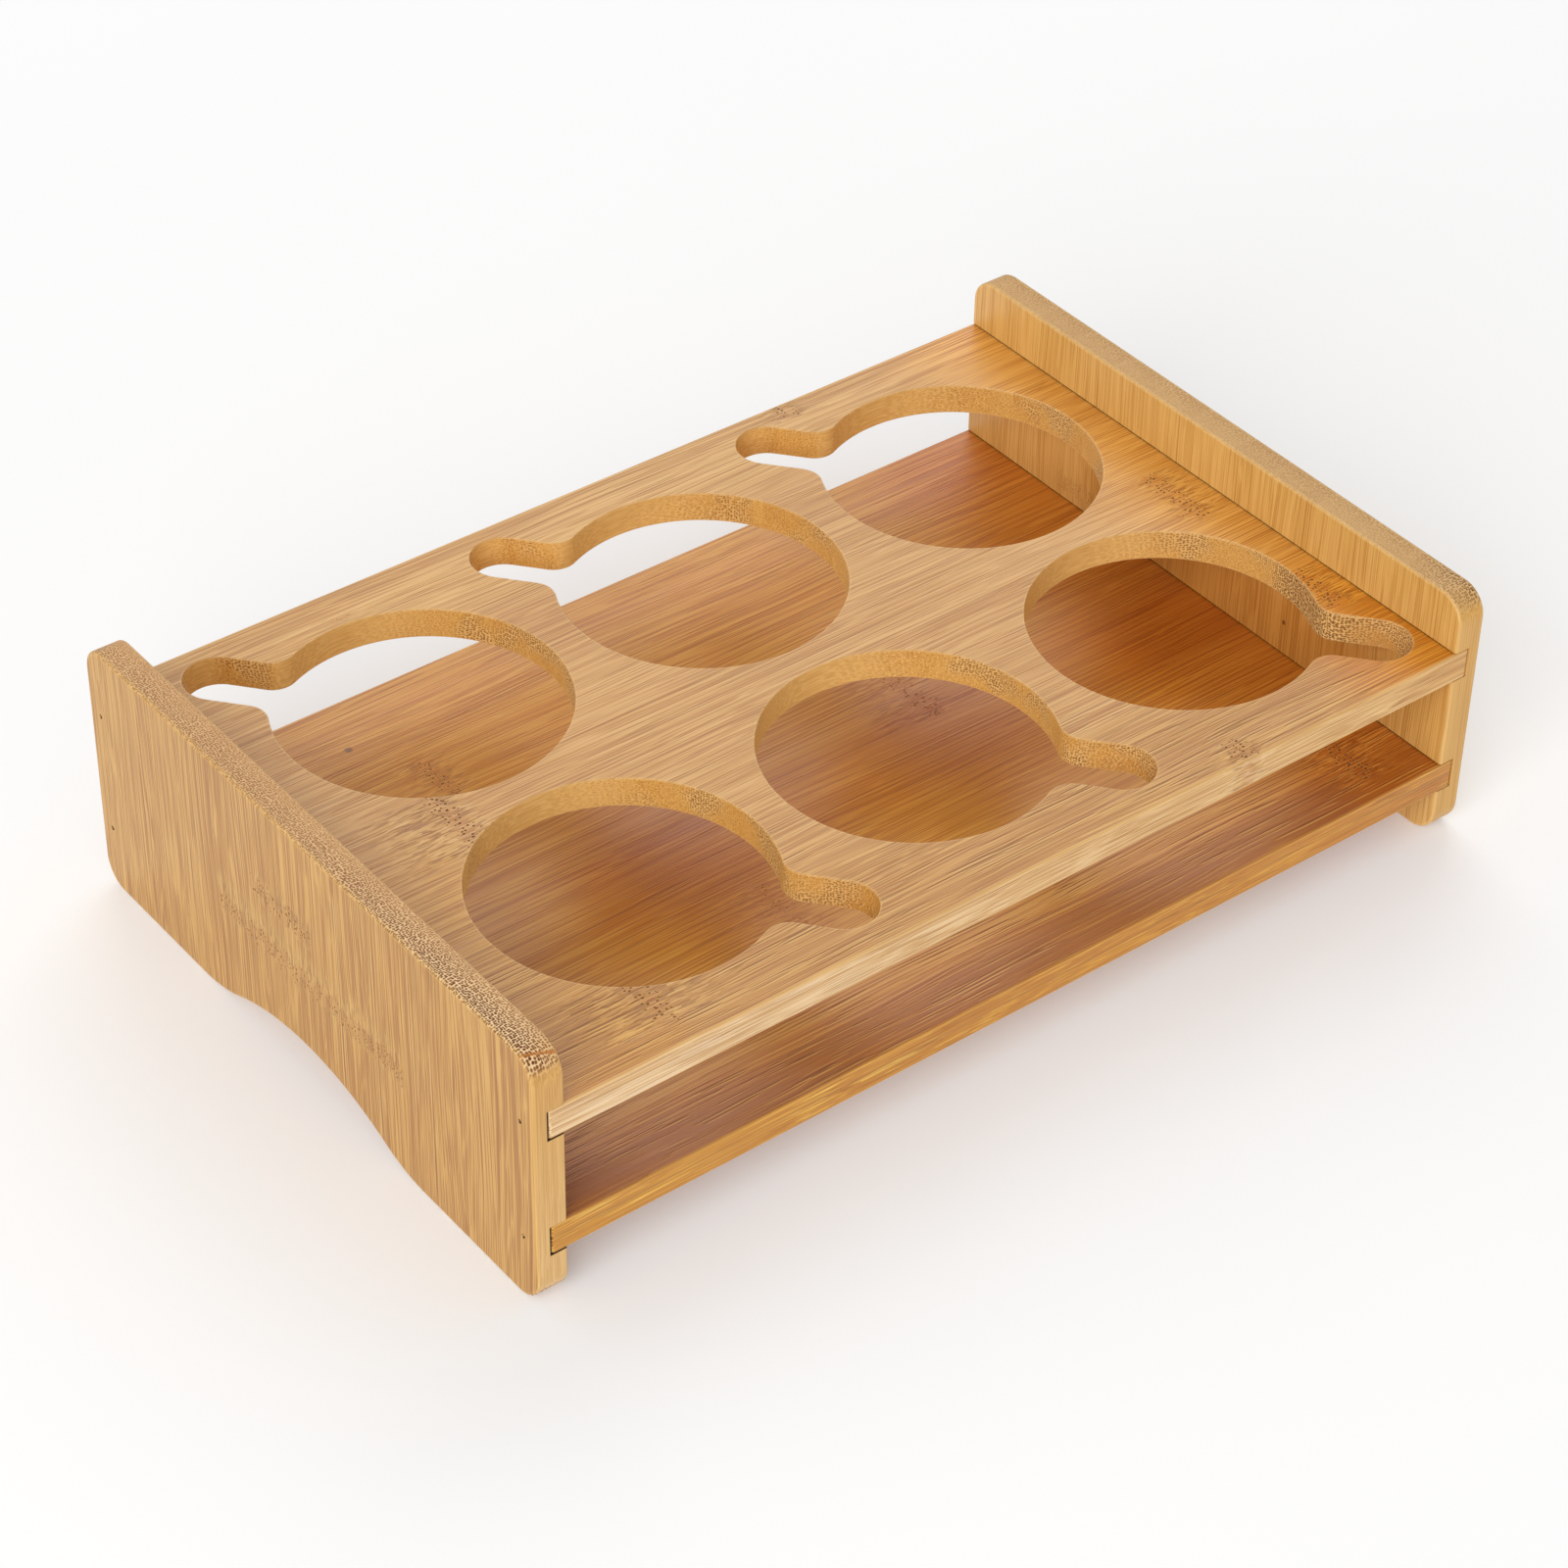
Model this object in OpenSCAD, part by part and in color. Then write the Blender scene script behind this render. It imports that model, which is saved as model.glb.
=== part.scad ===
// Two-tier tray of solid bamboo board.
// Two side boards stand on feet with an arch between them. A top board with
// six round holes, each with a slanting handle notch, and a plain shelf board
// are let into housings in the side boards, glued, and pinned through from
// outside with headless steel pins.
//
// X runs along the length, -Y is the front, +Z is up.
// The origin is on the ground, under the middle of the tray.

/* [Tray] */
// Length over the outer faces of the two side boards
tray_length = 270; // [266:1:320]
// Depth from front edge to back edge
tray_depth = 176.4; // [174:0.2:220]
// Height of the side boards
tray_height = 69.5; // [66:0.5:90]
// Thickness of every board
board_t = 8; // [7:0.5:9]

/* [Top board and shelf] */
// Height of the top board's upper face
top_face_z = 54.8; // [48:0.2:62]
// Height of the shelf's upper face
shelf_face_z = 21.8; // [20:0.2:30]
// Depth of the housings cut in the side boards
housing_depth = 4.5; // [3:0.1:5]
// Slack in height between a housing and the board in it
housing_slack = 0.3; // [0.1:0.1:0.6]
// Gap left between a board's left end and its housing
end_gap_left = 0.35; // [0.05:0.05:0.6]
// Gap left between a board's right end and its housing
end_gap_right = 0.05; // [0.05:0.05:0.6]

/* [Holes] */
// Diameter of the round holes
hole_d = 70; // [64:0.5:72]
// Number of holes along the length
columns = 3; // [1:1:3]
// Number of rows, front to back
rows = 2; // [1:1:2]
// Spacing of the holes along the length
pitch_x = 79.7; // [76:0.1:80]
// Spacing of the rows
pitch_y = 78.5; // [76:0.1:80]
// Shift of the whole hole pattern along X
pattern_x = 4; // [0:0.5:4]
// Shift of the whole hole pattern along Y
pattern_y = 1.2; // [0:0.1:1.6]

/* [Handle notches] */
// Width of a notch, and diameter of its round end
notch_w = 16; // [12:0.5:17]
// Distance from the hole's centre to the notch's round end, along X
notch_x = 33; // [30:0.5:33]
// Distance from the hole's centre to the notch's round end, along Y
notch_y = 35; // [30:0.5:35]
// Slant of the notch from the X axis, in degrees
notch_angle = 49.5; // [44:0.5:50]
// Radius where the notch flares into the hole
neck_r = 6; // [4:0.5:7]

/* [Side boards] */
// Radius of the four corners
corner_r = 7; // [3:0.5:10]
// Height of the arch between the feet
arch_h = 9.5; // [5:0.5:10]
// Radius of the crown of the arch
crown_r = 75; // [60:1:90]
// Radius of the sweep from each foot up into the arch
toe_r = 37.5; // [20:0.5:45]

/* [Pins] */
// Diameter of the headless pins
pin_d = 1.2; // [1:0.1:1.6]
// Length of a pin, with its point
pin_length = 20; // [14:0.5:20]
// Length of the point
pin_point = 1.5; // [1:0.1:2]
// How far a pin is set below the outer face
pin_sink = 0.8; // [0.2:0.1:1.2]
// Distance of the pins from the middle of the tray, front and back
pin_y = 83.5; // [80:0.5:84]

/* [Hidden] */
$fn = 96;
lap = 0.02;                              // blending arcs cross their neighbours by this

half_l = tray_length / 2;
half_d = tray_depth / 2;
inner_x = half_l - board_t;              // inner faces of the side boards
floor_x = inner_x + housing_depth;       // floors of the housings
end_left = -floor_x + end_gap_left;      // left end of the two boards
end_right = floor_x - end_gap_right;     // right end of the two boards
pin_out_x = half_l - pin_sink;           // outer end of a pin
top_mid_z = top_face_z - board_t / 2;
shelf_mid_z = shelf_face_z - board_t / 2;

light_bamboo = [0.86, 0.68, 0.45];
tan_bamboo = [0.83, 0.64, 0.42];
amber_bamboo = [0.72, 0.47, 0.26];
pin_steel = [0.35, 0.34, 0.33];

// Outline with four rounded corners, centred across, standing on y = 0
module rounded_plate(w, h, r) {
    union() {
        translate([-w / 2 + r, 0]) square([w - 2 * r, h]);
        translate([-w / 2, r]) square([w, h - 2 * r]);
        for (x = [-w / 2 + r, w / 2 - r], y = [r, h - r])
            translate([x, y]) circle(r = r);
    }
}

// Ogee arch between the feet: a crown arc that sweeps out into two toe arcs
module foot_arch(h, crown, toe) {
    crown_cy = h - crown;
    toe_cx = sqrt(pow(crown + toe, 2) - pow(toe - crown_cy, 2));
    turn = crown / (crown + toe);
    turn_x = toe_cx * turn;
    turn_y = crown_cy + (toe - crown_cy) * turn;
    difference() {
        polygon([[-toe_cx, -5], [-toe_cx, toe], [-turn_x, turn_y],
                 [turn_x, turn_y], [toe_cx, toe], [toe_cx, -5]]);
        for (s = [-1, 1]) translate([s * toe_cx, toe]) circle(r = toe + lap, $fn = 240);
    }
    intersection() {
        translate([0, crown_cy]) circle(r = crown, $fn = 360);
        translate([-turn_x, turn_y - 1]) square([2 * turn_x, h]);
    }
}

// Round hole with its slanting handle notch, centred on the hole.
// The notch's middle line runs at notch_angle below +X and ends at
// (notch_x, -notch_y). Two arcs of neck_r blend its sides into the hole.
module notched_hole() {
    r = hole_d / 2;
    w = notch_w / 2;
    // the round end, in axes turned so that the notch runs along +X
    end_u = notch_x * cos(notch_angle) + notch_y * sin(notch_angle);
    end_v = notch_x * sin(notch_angle) - notch_y * cos(notch_angle);
    // centres of the two blending arcs
    up_v = end_v + w + neck_r;
    up_u = sqrt(pow(r + neck_r, 2) - pow(up_v, 2));
    low_v = end_v - w - neck_r;
    low_u = sqrt(pow(r + neck_r, 2) - pow(low_v, 2));
    rotate(-notch_angle) union() {
        circle(r = r, $fn = 240);
        translate([end_u, end_v]) circle(r = w);
        difference() {
            polygon([[0, 0], [low_u, low_v], [low_u, end_v - w], [end_u, end_v - w],
                     [end_u, end_v + w], [up_u, end_v + w], [up_u, up_v]]);
            translate([up_u, up_v]) circle(r = neck_r + lap);
            translate([low_u, low_v]) circle(r = neck_r + lap);
        }
    }
}

// All the holes. Notches of the front row point right and forward; those of
// the back row point left and backward.
module hole_pattern() {
    for (c = [0 : columns - 1], k = [0 : rows - 1])
        translate([pattern_x + (c - (columns - 1) / 2) * pitch_x,
                   pattern_y + (k - (rows - 1) / 2) * pitch_y])
            rotate(k == 0 ? 0 : 180) notched_hole();
}

// One headless pin, driven along +X from its outer end at the origin
module pin(extra = 0) {
    rotate([0, 90, 0]) {
        translate([0, 0, -extra]) cylinder(d = pin_d, h = pin_length - pin_point + extra, $fn = 24);
        translate([0, 0, pin_length - pin_point])
            cylinder(d1 = pin_d, d2 = pin_d / 4, h = pin_point, $fn = 24);
    }
}

// The front and back pin of one joint; side is -1 on the left, 1 on the right
module pin_pair(side, z, extra = 0) {
    for (y = [-pin_y, pin_y])
        translate([side * pin_out_x, y, z])
            rotate([0, 0, side < 0 ? 0 : 180]) pin(extra);
}

// A side board; side is -1 on the left, 1 on the right. Each housing is as
// much higher than its board as housing_slack, left open under the board on
// the left and over it on the right.
module side_board(side) {
    drop = side < 0 ? housing_slack : 0;
    difference() {
        translate([side < 0 ? -half_l : inner_x, 0, 0])
            rotate([90, 0, 90]) linear_extrude(board_t)
                difference() {
                    rounded_plate(tray_depth, tray_height, corner_r);
                    foot_arch(arch_h, crown_r, toe_r);
                }
        for (z = [top_face_z, shelf_face_z])
            translate([side < 0 ? -floor_x : inner_x - 1, -half_d - 1, z - board_t - drop])
                cube([housing_depth + 1, tray_depth + 2, board_t + housing_slack]);
        pin_pair(side, top_mid_z, pin_sink + 1);
        pin_pair(side, shelf_mid_z, pin_sink + 1);
    }
}

module left_side_board() { color(light_bamboo) side_board(-1); }

module right_side_board() { color(light_bamboo) side_board(1); }

module top_board() {
    color(tan_bamboo) difference() {
        translate([0, 0, top_face_z - board_t])
            linear_extrude(board_t)
                difference() {
                    translate([end_left, -half_d]) square([end_right - end_left, tray_depth]);
                    hole_pattern();
                }
        for (side = [-1, 1]) pin_pair(side, top_mid_z);
    }
}

module shelf_board() {
    color(amber_bamboo) difference() {
        translate([end_left, -half_d, shelf_face_z - board_t])
            cube([end_right - end_left, tray_depth, board_t]);
        for (side = [-1, 1]) pin_pair(side, shelf_mid_z);
    }
}

module left_top_pins() { color(pin_steel) pin_pair(-1, top_mid_z); }

module left_shelf_pins() { color(pin_steel) pin_pair(-1, shelf_mid_z); }

module right_top_pins() { color(pin_steel) pin_pair(1, top_mid_z); }

module right_shelf_pins() { color(pin_steel) pin_pair(1, shelf_mid_z); }

left_side_board();
right_side_board();
top_board();
shelf_board();
left_top_pins();
left_shelf_pins();
right_top_pins();
right_shelf_pins();
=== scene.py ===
import math
import random

import bmesh
import bpy
import numpy as np
from mathutils import Matrix, Vector, noise
from mathutils.geometry import delaunay_2d_cdt


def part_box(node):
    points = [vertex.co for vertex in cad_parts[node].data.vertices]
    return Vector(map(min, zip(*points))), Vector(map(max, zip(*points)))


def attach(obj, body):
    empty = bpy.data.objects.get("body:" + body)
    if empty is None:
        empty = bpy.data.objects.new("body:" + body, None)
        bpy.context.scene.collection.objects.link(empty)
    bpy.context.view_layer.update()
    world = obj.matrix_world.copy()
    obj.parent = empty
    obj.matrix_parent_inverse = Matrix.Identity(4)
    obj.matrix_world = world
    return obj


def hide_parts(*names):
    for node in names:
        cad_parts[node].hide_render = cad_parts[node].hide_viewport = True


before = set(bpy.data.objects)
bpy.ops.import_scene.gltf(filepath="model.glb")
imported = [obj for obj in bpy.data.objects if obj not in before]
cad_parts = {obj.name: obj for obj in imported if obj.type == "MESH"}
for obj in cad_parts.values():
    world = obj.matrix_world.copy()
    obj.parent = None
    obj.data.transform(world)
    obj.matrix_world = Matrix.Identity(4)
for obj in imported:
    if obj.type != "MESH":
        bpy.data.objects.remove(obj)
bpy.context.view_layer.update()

MM = 0.001
random.seed(7)


def mm(pair):
    return [[v / MM for v in corner] for corner in pair]


# ---------------------------------------------------------------- camera
cam_data = bpy.data.cameras.new("camera")
cam_data.sensor_width = 36.0
cam_data.lens = 97.446
cam_data.clip_start = 0.01
cam_data.clip_end = 50.0
cam = bpy.data.objects.new("camera", cam_data)
bpy.context.scene.collection.objects.link(cam)
RIGHT = Vector((0.7919245, -0.6104294, 0.0152149))
DOWN = Vector((-0.3741790, -0.5048206, -0.7779114))
AHEAD = Vector((0.4825408, 0.6103541, -0.6281897))
cam.matrix_world = (
    Matrix.Translation((-0.4848009, -0.6108523, 0.6498345))
    @ Matrix((RIGHT, -DOWN, -AHEAD)).transposed().to_4x4()
)
bpy.context.scene.camera = cam

# ---------------------------------------------------------------- sizes, in mm
LEFT = mm(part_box("left_side_board"))
SIDE_RIGHT = mm(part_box("right_side_board"))
TOP = mm(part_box("top_board"))
SHELF = mm(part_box("shelf_board"))
HALF_Y = TOP[1][1]
SIDE_H = LEFT[1][2]
BOARD_T = TOP[1][2] - TOP[0][2]
INNER = SIDE_RIGHT[0][0]  # inner faces of the side boards at plus and minus this
OUTER = SIDE_RIGHT[1][0]
FLOOR_X = INNER + 4.5  # bottom of the housings
SLACK = 0.3
CORNER_R = 7.0
ARCH_H = 9.5
CROWN_R = 75.0
TOE_R = 37.5
HOLE_R = 35.0
NOTCH_R = 8.0
NECK_R = 6.0
NOTCH_TURN = math.radians(-49.5)
PIN_Y = 83.5
PIN_R = 0.6
HOLES = [
    (x, y, flip)
    for y, flip in ((-38.05, 0.0), (40.45, math.pi))
    for x in (-75.7, 4.0, 83.7)
]


# ---------------------------------------------------------------- outlines
def arc(cx, cy, r, a0, a1, step):
    n = max(2, int(round(abs(a1 - a0) * r / step)))
    return [
        (cx + r * math.cos(a0 + (a1 - a0) * i / n), cy + r * math.sin(a0 + (a1 - a0) * i / n))
        for i in range(n)
    ]


def line(x0, y0, x1, y1, step):
    n = max(1, int(round(math.hypot(x1 - x0, y1 - y0) / step)))
    return [(x0 + (x1 - x0) * i / n, y0 + (y1 - y0) * i / n) for i in range(n)]


def notched_hole(x, y, flip, step=0.55):
    """A round hole with its handle notch, anticlockwise."""
    cos, sin = math.cos(-NOTCH_TURN), math.sin(-NOTCH_TURN)
    end_u, end_v = cos * 33.0 - sin * -35.0, sin * 33.0 + cos * -35.0
    reach = HOLE_R + NECK_R
    up_v, low_v = end_v + NOTCH_R + NECK_R, end_v - NOTCH_R - NECK_R
    up_u, low_u = math.sqrt(reach**2 - up_v**2), math.sqrt(reach**2 - low_v**2)
    up, low = math.atan2(up_v, up_u), math.atan2(low_v, low_u)
    pts = arc(0, 0, HOLE_R, up, 2 * math.pi + low, step)
    pts += arc(low_u, low_v, NECK_R, math.pi + low, math.pi / 2, step)
    pts += line(low_u, end_v - NOTCH_R, end_u, end_v - NOTCH_R, step)
    pts += arc(end_u, end_v, NOTCH_R, -math.pi / 2, math.pi / 2, step)
    pts += line(end_u, end_v + NOTCH_R, up_u, end_v + NOTCH_R, step)
    pts += arc(up_u, up_v, NECK_R, -math.pi / 2, up - math.pi, step)
    turn = NOTCH_TURN + flip
    cos, sin = math.cos(turn), math.sin(turn)
    return [(x + cos * u - sin * v, y + sin * u + cos * v) for u, v in pts]


def rounded_rect(x0, y0, x1, y1, r, step):
    q = math.pi / 2
    fine = max(0.12, r * q / 4)
    pts = line(x0 + r, y0, x1 - r, y0, step) + arc(x1 - r, y0 + r, r, -q, 0, fine)
    pts += line(x1, y0 + r, x1, y1 - r, step) + arc(x1 - r, y1 - r, r, 0, q, fine)
    pts += line(x1 - r, y1, x0 + r, y1, step) + arc(x0 + r, y1 - r, r, q, 2 * q, fine)
    pts += line(x0, y1 - r, x0, y0 + r, step) + arc(x0 + r, y0 + r, r, 2 * q, 3 * q, fine)
    return pts


def side_outline(step=1.1):
    """A side board seen from the side, as (y, z), anticlockwise from the arch."""
    q, r, h, w = math.pi / 2, CORNER_R, SIDE_H, HALF_Y
    crown_z = ARCH_H - CROWN_R
    toe_y = math.sqrt((CROWN_R + TOE_R) ** 2 - (TOE_R - crown_z) ** 2)
    turn = math.atan2(toe_y, TOE_R - crown_z)
    pts = line(toe_y, 0, w - r, 0, step) + arc(w - r, r, r, -q, 0, step * 0.6)
    pts += line(w, r, w, h - r, step) + arc(w - r, h - r, r, 0, q, step * 0.6)
    pts += line(w - r, h, r - w, h, step) + arc(r - w, h - r, r, q, 2 * q, step * 0.6)
    pts += line(-w, h - r, -w, r, step) + arc(r - w, r, r, 2 * q, 3 * q, step * 0.6)
    pts += line(r - w, 0, -toe_y, 0, step) + arc(-toe_y, TOE_R, TOE_R, -q, turn - q, step)
    pts += arc(0, crown_z, CROWN_R, q + turn, q - turn, step)
    pts += arc(toe_y, TOE_R, TOE_R, 3 * q - turn, 3 * q, step)
    return pts


def normals_of(pts):
    p = np.array(pts)
    d = np.roll(p, -1, 0) - np.roll(p, 1, 0)
    d /= np.linalg.norm(d, axis=1)[:, None]
    return np.stack((d[:, 1], -d[:, 0]), 1)  # outward on an anticlockwise loop


# ---------------------------------------------------------------- boards
def in_area(pts, loops):
    """True for each point inside loops[0] and outside the others."""
    keep = np.ones(len(pts), bool)
    for k, lp in enumerate(loops):
        inside = np.zeros(len(pts), bool)
        for (x0, y0), (x1, y1) in zip(lp, np.roll(lp, -1, 0)):
            if y0 != y1:
                inside ^= ((y0 > pts[:, 1]) != (y1 > pts[:, 1])) & (
                    pts[:, 0] < (x1 - x0) * (pts[:, 1] - y0) / (y1 - y0) + x0
                )
        keep &= inside if k == 0 else ~inside
    return keep


def cap_triangles(loops, spacing):
    """Triangles over the area inside loops[0] and outside the others, with a light grid inside."""
    sizes = [len(lp) for lp in loops]
    flat = np.concatenate(loops)
    lo, hi = loops[0].min(0), loops[0].max(0)
    grid = []
    rows = int((hi[1] - lo[1]) / spacing)
    for j in range(1, rows):
        yy = lo[1] + (hi[1] - lo[1]) * j / rows
        shift = 0.5 if j % 2 else 0.0
        cols = int((hi[0] - lo[0]) / spacing)
        for i in range(1, cols):
            grid.append((lo[0] + (hi[0] - lo[0]) * (i + shift) / cols, yy))
    grid = np.array(grid)
    grid = grid[in_area(grid, loops)]
    near = np.full(len(grid), np.inf)
    for start in range(0, len(flat), 256):
        part = flat[start : start + 256]
        near = np.minimum(near, ((grid[:, None] - part[None]) ** 2).sum(2).min(1))
    grid = grid[near > (spacing * 0.45) ** 2]
    pts = np.concatenate((flat, grid))
    edges, at = [], 0
    for n in sizes:
        edges += [(at + i, at + (i + 1) % n) for i in range(n)]
        at += n
    verts, _, faces, orig, _, _ = delaunay_2d_cdt(
        [Vector((float(u), float(v))) for u, v in pts], edges, [], 1, 1e-5
    )
    back = [o[0] if o else None for o in orig]
    assert None not in back and len(verts) == len(pts)
    tris = [[back[i] for i in f] for f in faces]
    corner = pts[np.array(tris)]
    keep = in_area(corner.mean(1), loops)
    turn = np.cross(corner[:, 1] - corner[:, 0], corner[:, 2] - corner[:, 0])
    tris = [ids if w > 0 else ids[::-1] for ids, w, k in zip(tris, turn, keep) if k and abs(w) > 1e-9]
    return grid, tris


FADE = 0.3


def board(name, loops, t0, t1, arris, place, spacing=5.0, walls=5, wear=None, rough_rim=None):
    """A flat board. loops are its outline and its holes, anticlockwise; t0 and t1 its faces; arris the rounding of
    each loop's edges as (at t0, at t1). place turns (u, v, t) into (x, y, z). rough_rim gives a small torn depth at a
    point of a hole's upper rim. The arris attribute is 1 on the rounded edges and fades over FADE mm."""
    bm = bmesh.new()
    # the arris attribute marks the rounded edges, which get a painted highlight
    edge_highlight = bm.verts.layers.float.new("arris")
    segs = 4
    caps = {0: [], 1: []}
    for k, pts in enumerate(loops):
        p = np.array(pts)
        nrm = normals_of(pts) * (-1 if k == 0 else 1)  # into the wood
        r0, r1 = arris[k]
        rings = [(r0 + FADE, t0, 0.0, 0)]
        for i in range(segs + 1):
            f = math.pi / 2 * i / segs
            rings.append((r0 * (1 - math.sin(f)), t0 + r0 * (1 - math.cos(f)), 1.0, 0))
        low, high = t0 + r0 + FADE, t1 - r1 - FADE
        for i in range(walls + 1):
            rings.append((0.0, low + (high - low) * i / walls, 0.0, 0.5))
        for i in range(segs + 1):
            f = math.pi / 2 * i / segs
            rings.append((r1 * (1 - math.cos(f)), t1 - r1 * (1 - math.sin(f)), 0.8 if k else 1.0, 1))
        rings.append((r1 + FADE, t1, 0.0, 2))
        made = []
        for d, t, w, s in rings:
            tear = 0.0
            row = []
            for j in range(len(p)):
                tear = rough_rim(k, p[j], nrm[j]) if rough_rim and k and s == 1 else 0.0
                u, v = p[j] + nrm[j] * (d + tear * (0.4 + 0.6 * (t - (t1 - r1)) / max(r1, 1e-6)))
                bv = bm.verts.new(place(u, v, t))
                bv[edge_highlight] = w
                row.append(bv)
            made.append(row)
        n = len(p)
        for lower, upper in zip(made, made[1:]):
            for j in range(n):
                quad = [lower[j], lower[(j + 1) % n], upper[(j + 1) % n], upper[j]]
                if k:
                    quad.reverse()
                bm.faces.new(quad)
        caps[0].append(made[0])
        caps[1].append(made[-1])
        rims = caps
    inv = place_inverse(place)
    for side, t in ((0, t0), (1, t1)):
        flat_loops = [np.array([inv(v.co) for v in row]) for row in rims[side]]
        grid, tris = cap_triangles(flat_loops, spacing)
        verts = [v for row in rims[side] for v in row]
        for u, v in grid:
            bv = bm.verts.new(place(float(u), float(v), t))
            bv[edge_highlight] = 0.0
            verts.append(bv)
        for ids in tris:
            if side == 0:
                ids = ids[::-1]
            bm.faces.new([verts[i] for i in ids])
    bm.normal_update()
    if bm.calc_volume(signed=True) < 0:
        bmesh.ops.reverse_faces(bm, faces=bm.faces)
    me = bpy.data.meshes.new(name)
    bm.to_mesh(me)
    bm.free()
    ob = bpy.data.objects.new(name, me)
    bpy.context.scene.collection.objects.link(ob)
    return ob


def flat_place(u, v, t):
    return (u * MM, v * MM, t * MM)


def side_place(u, v, t):
    return (t * MM, u * MM, v * MM)


def place_inverse(place):
    if place is flat_place:
        return lambda co: (co.x / MM, co.y / MM)
    return lambda co: (co.y / MM, co.z / MM)


def cutter_box(x0, y0, z0, x1, y1, z1):
    bm = bmesh.new()
    bmesh.ops.create_cube(bm, size=1.0)
    for v in bm.verts:
        v.co = (
            (x0 if v.co.x < 0 else x1) * MM,
            (y0 if v.co.y < 0 else y1) * MM,
            (z0 if v.co.z < 0 else z1) * MM,
        )
    return bm


def cutter_pin(x0, x1, y, z, r, n=20):
    bm = bmesh.new()
    rows = []
    for x in (x0, x1):
        rows.append(
            [
                bm.verts.new((x * MM, (y + r * math.cos(math.tau * i / n)) * MM, (z + r * math.sin(math.tau * i / n)) * MM))
                for i in range(n)
            ]
        )
    for i in range(n):
        bm.faces.new([rows[0][i], rows[0][(i + 1) % n], rows[1][(i + 1) % n], rows[1][i]])
    bm.faces.new(rows[0][::-1])
    bm.faces.new(rows[1])
    bmesh.ops.recalc_face_normals(bm, faces=bm.faces)
    return bm


def carve(ob, cutters):
    """Cuts each closed mesh out of the board, and applies the result to its mesh."""
    made = []
    for i, bm in enumerate(cutters):
        me = bpy.data.meshes.new(f"cut{i}")
        bm.to_mesh(me)
        bm.free()
        cut = bpy.data.objects.new(f"cut{i}", me)
        bpy.context.scene.collection.objects.link(cut)
        m = ob.modifiers.new(f"cut{i}", "BOOLEAN")
        m.operation, m.solver, m.object = "DIFFERENCE", "EXACT", cut
        made.append(cut)
    deps = bpy.context.evaluated_depsgraph_get()
    deps.update()
    me = bpy.data.meshes.new_from_object(ob.evaluated_get(deps))
    ob.modifiers.clear()
    old, ob.data = ob.data, me
    bpy.data.meshes.remove(old)
    for cut in made:
        data = cut.data
        bpy.data.objects.remove(cut)
        bpy.data.meshes.remove(data)


def finish_mesh(ob, angle=32):
    me = ob.data
    me.name = ob.name
    me.polygons.foreach_set("use_smooth", [True] * len(me.polygons))
    me.set_sharp_from_angle(angle=math.radians(angle))
    w = ob.modifiers.new("weighted", "WEIGHTED_NORMAL")
    w.weight = 60
    w.keep_sharp = True


def torn(k, p, n):
    """How far the upper rim of a hole is torn out, in mm: more where the rim crosses the fibres."""
    across = n[0] ** 2
    f = noise.noise(Vector((p[0] * 1.1, p[1] * 1.7, k * 9.1)))
    g = noise.noise(Vector((p[0] * 0.25 + 40, p[1] * 0.25, k * 5.3)))
    return max(0.0, 0.025 + 0.05 * f) + across * (0.03 + 0.05 * max(0.0, f)) + (0.22 * max(0.0, g - 0.42) * max(0.0, f + 0.3))


top = board(
    "top_board_bamboo",
    [rounded_rect(TOP[0][0], TOP[0][1], TOP[1][0], TOP[1][1], 1.0, 2.0)]
    + [notched_hole(x, y, flip) for x, y, flip in HOLES],
    TOP[0][2],
    TOP[1][2],
    [(0.40, 0.55)] + [(0.18, 0.22)] * 6,
    flat_place,
    spacing=5.0,
    walls=6,
    rough_rim=torn,
)
shelf = board(
    "shelf_board_bamboo",
    [rounded_rect(SHELF[0][0], SHELF[0][1], SHELF[1][0], SHELF[1][1], 1.0, 2.0)],
    SHELF[0][2],
    SHELF[1][2],
    [(0.4, 0.45)],
    flat_place,
    spacing=6.0,
)
left = board("left_side_board_bamboo", [side_outline()], -OUTER, -INNER, [(0.75, 0.55)], side_place, spacing=5.0)
right = board("right_side_board_bamboo", [side_outline()], INNER, OUTER, [(0.55, 0.75)], side_place, spacing=5.0)

far = HALF_Y + 3
tops = (SHELF[0][2], TOP[0][2])
mids = [z + BOARD_T / 2 for z in tops]
carve(
    left,
    [cutter_box(-FLOOR_X, -far, z - SLACK, -INNER + 3, far, z + BOARD_T) for z in tops]
    + [cutter_pin(-OUTER - 1, -FLOOR_X + 1, y, z, PIN_R) for z in mids for y in (-PIN_Y, PIN_Y)],
)
carve(
    right,
    [cutter_box(INNER - 3, -far, z, FLOOR_X, far, z + BOARD_T + SLACK) for z in tops]
    + [cutter_pin(FLOOR_X - 1, OUTER + 1, y, z, PIN_R) for z in mids for y in (-PIN_Y, PIN_Y)],
)
for ob in (top, shelf):
    z = mids[1] if ob is top else mids[0]
    lo, hi = (TOP if ob is top else SHELF)[0][0], (TOP if ob is top else SHELF)[1][0]
    carve(
        ob,
        [cutter_pin(lo - 1, -OUTER + 0.8 + 20.4, y, z, PIN_R + 0.05, 16) for y in (-PIN_Y, PIN_Y)]
        + [cutter_pin(OUTER - 0.8 - 20.4, hi + 1, y, z, PIN_R + 0.05, 16) for y in (-PIN_Y, PIN_Y)],
    )
for ob in (top, shelf, left, right):
    finish_mesh(ob)


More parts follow.
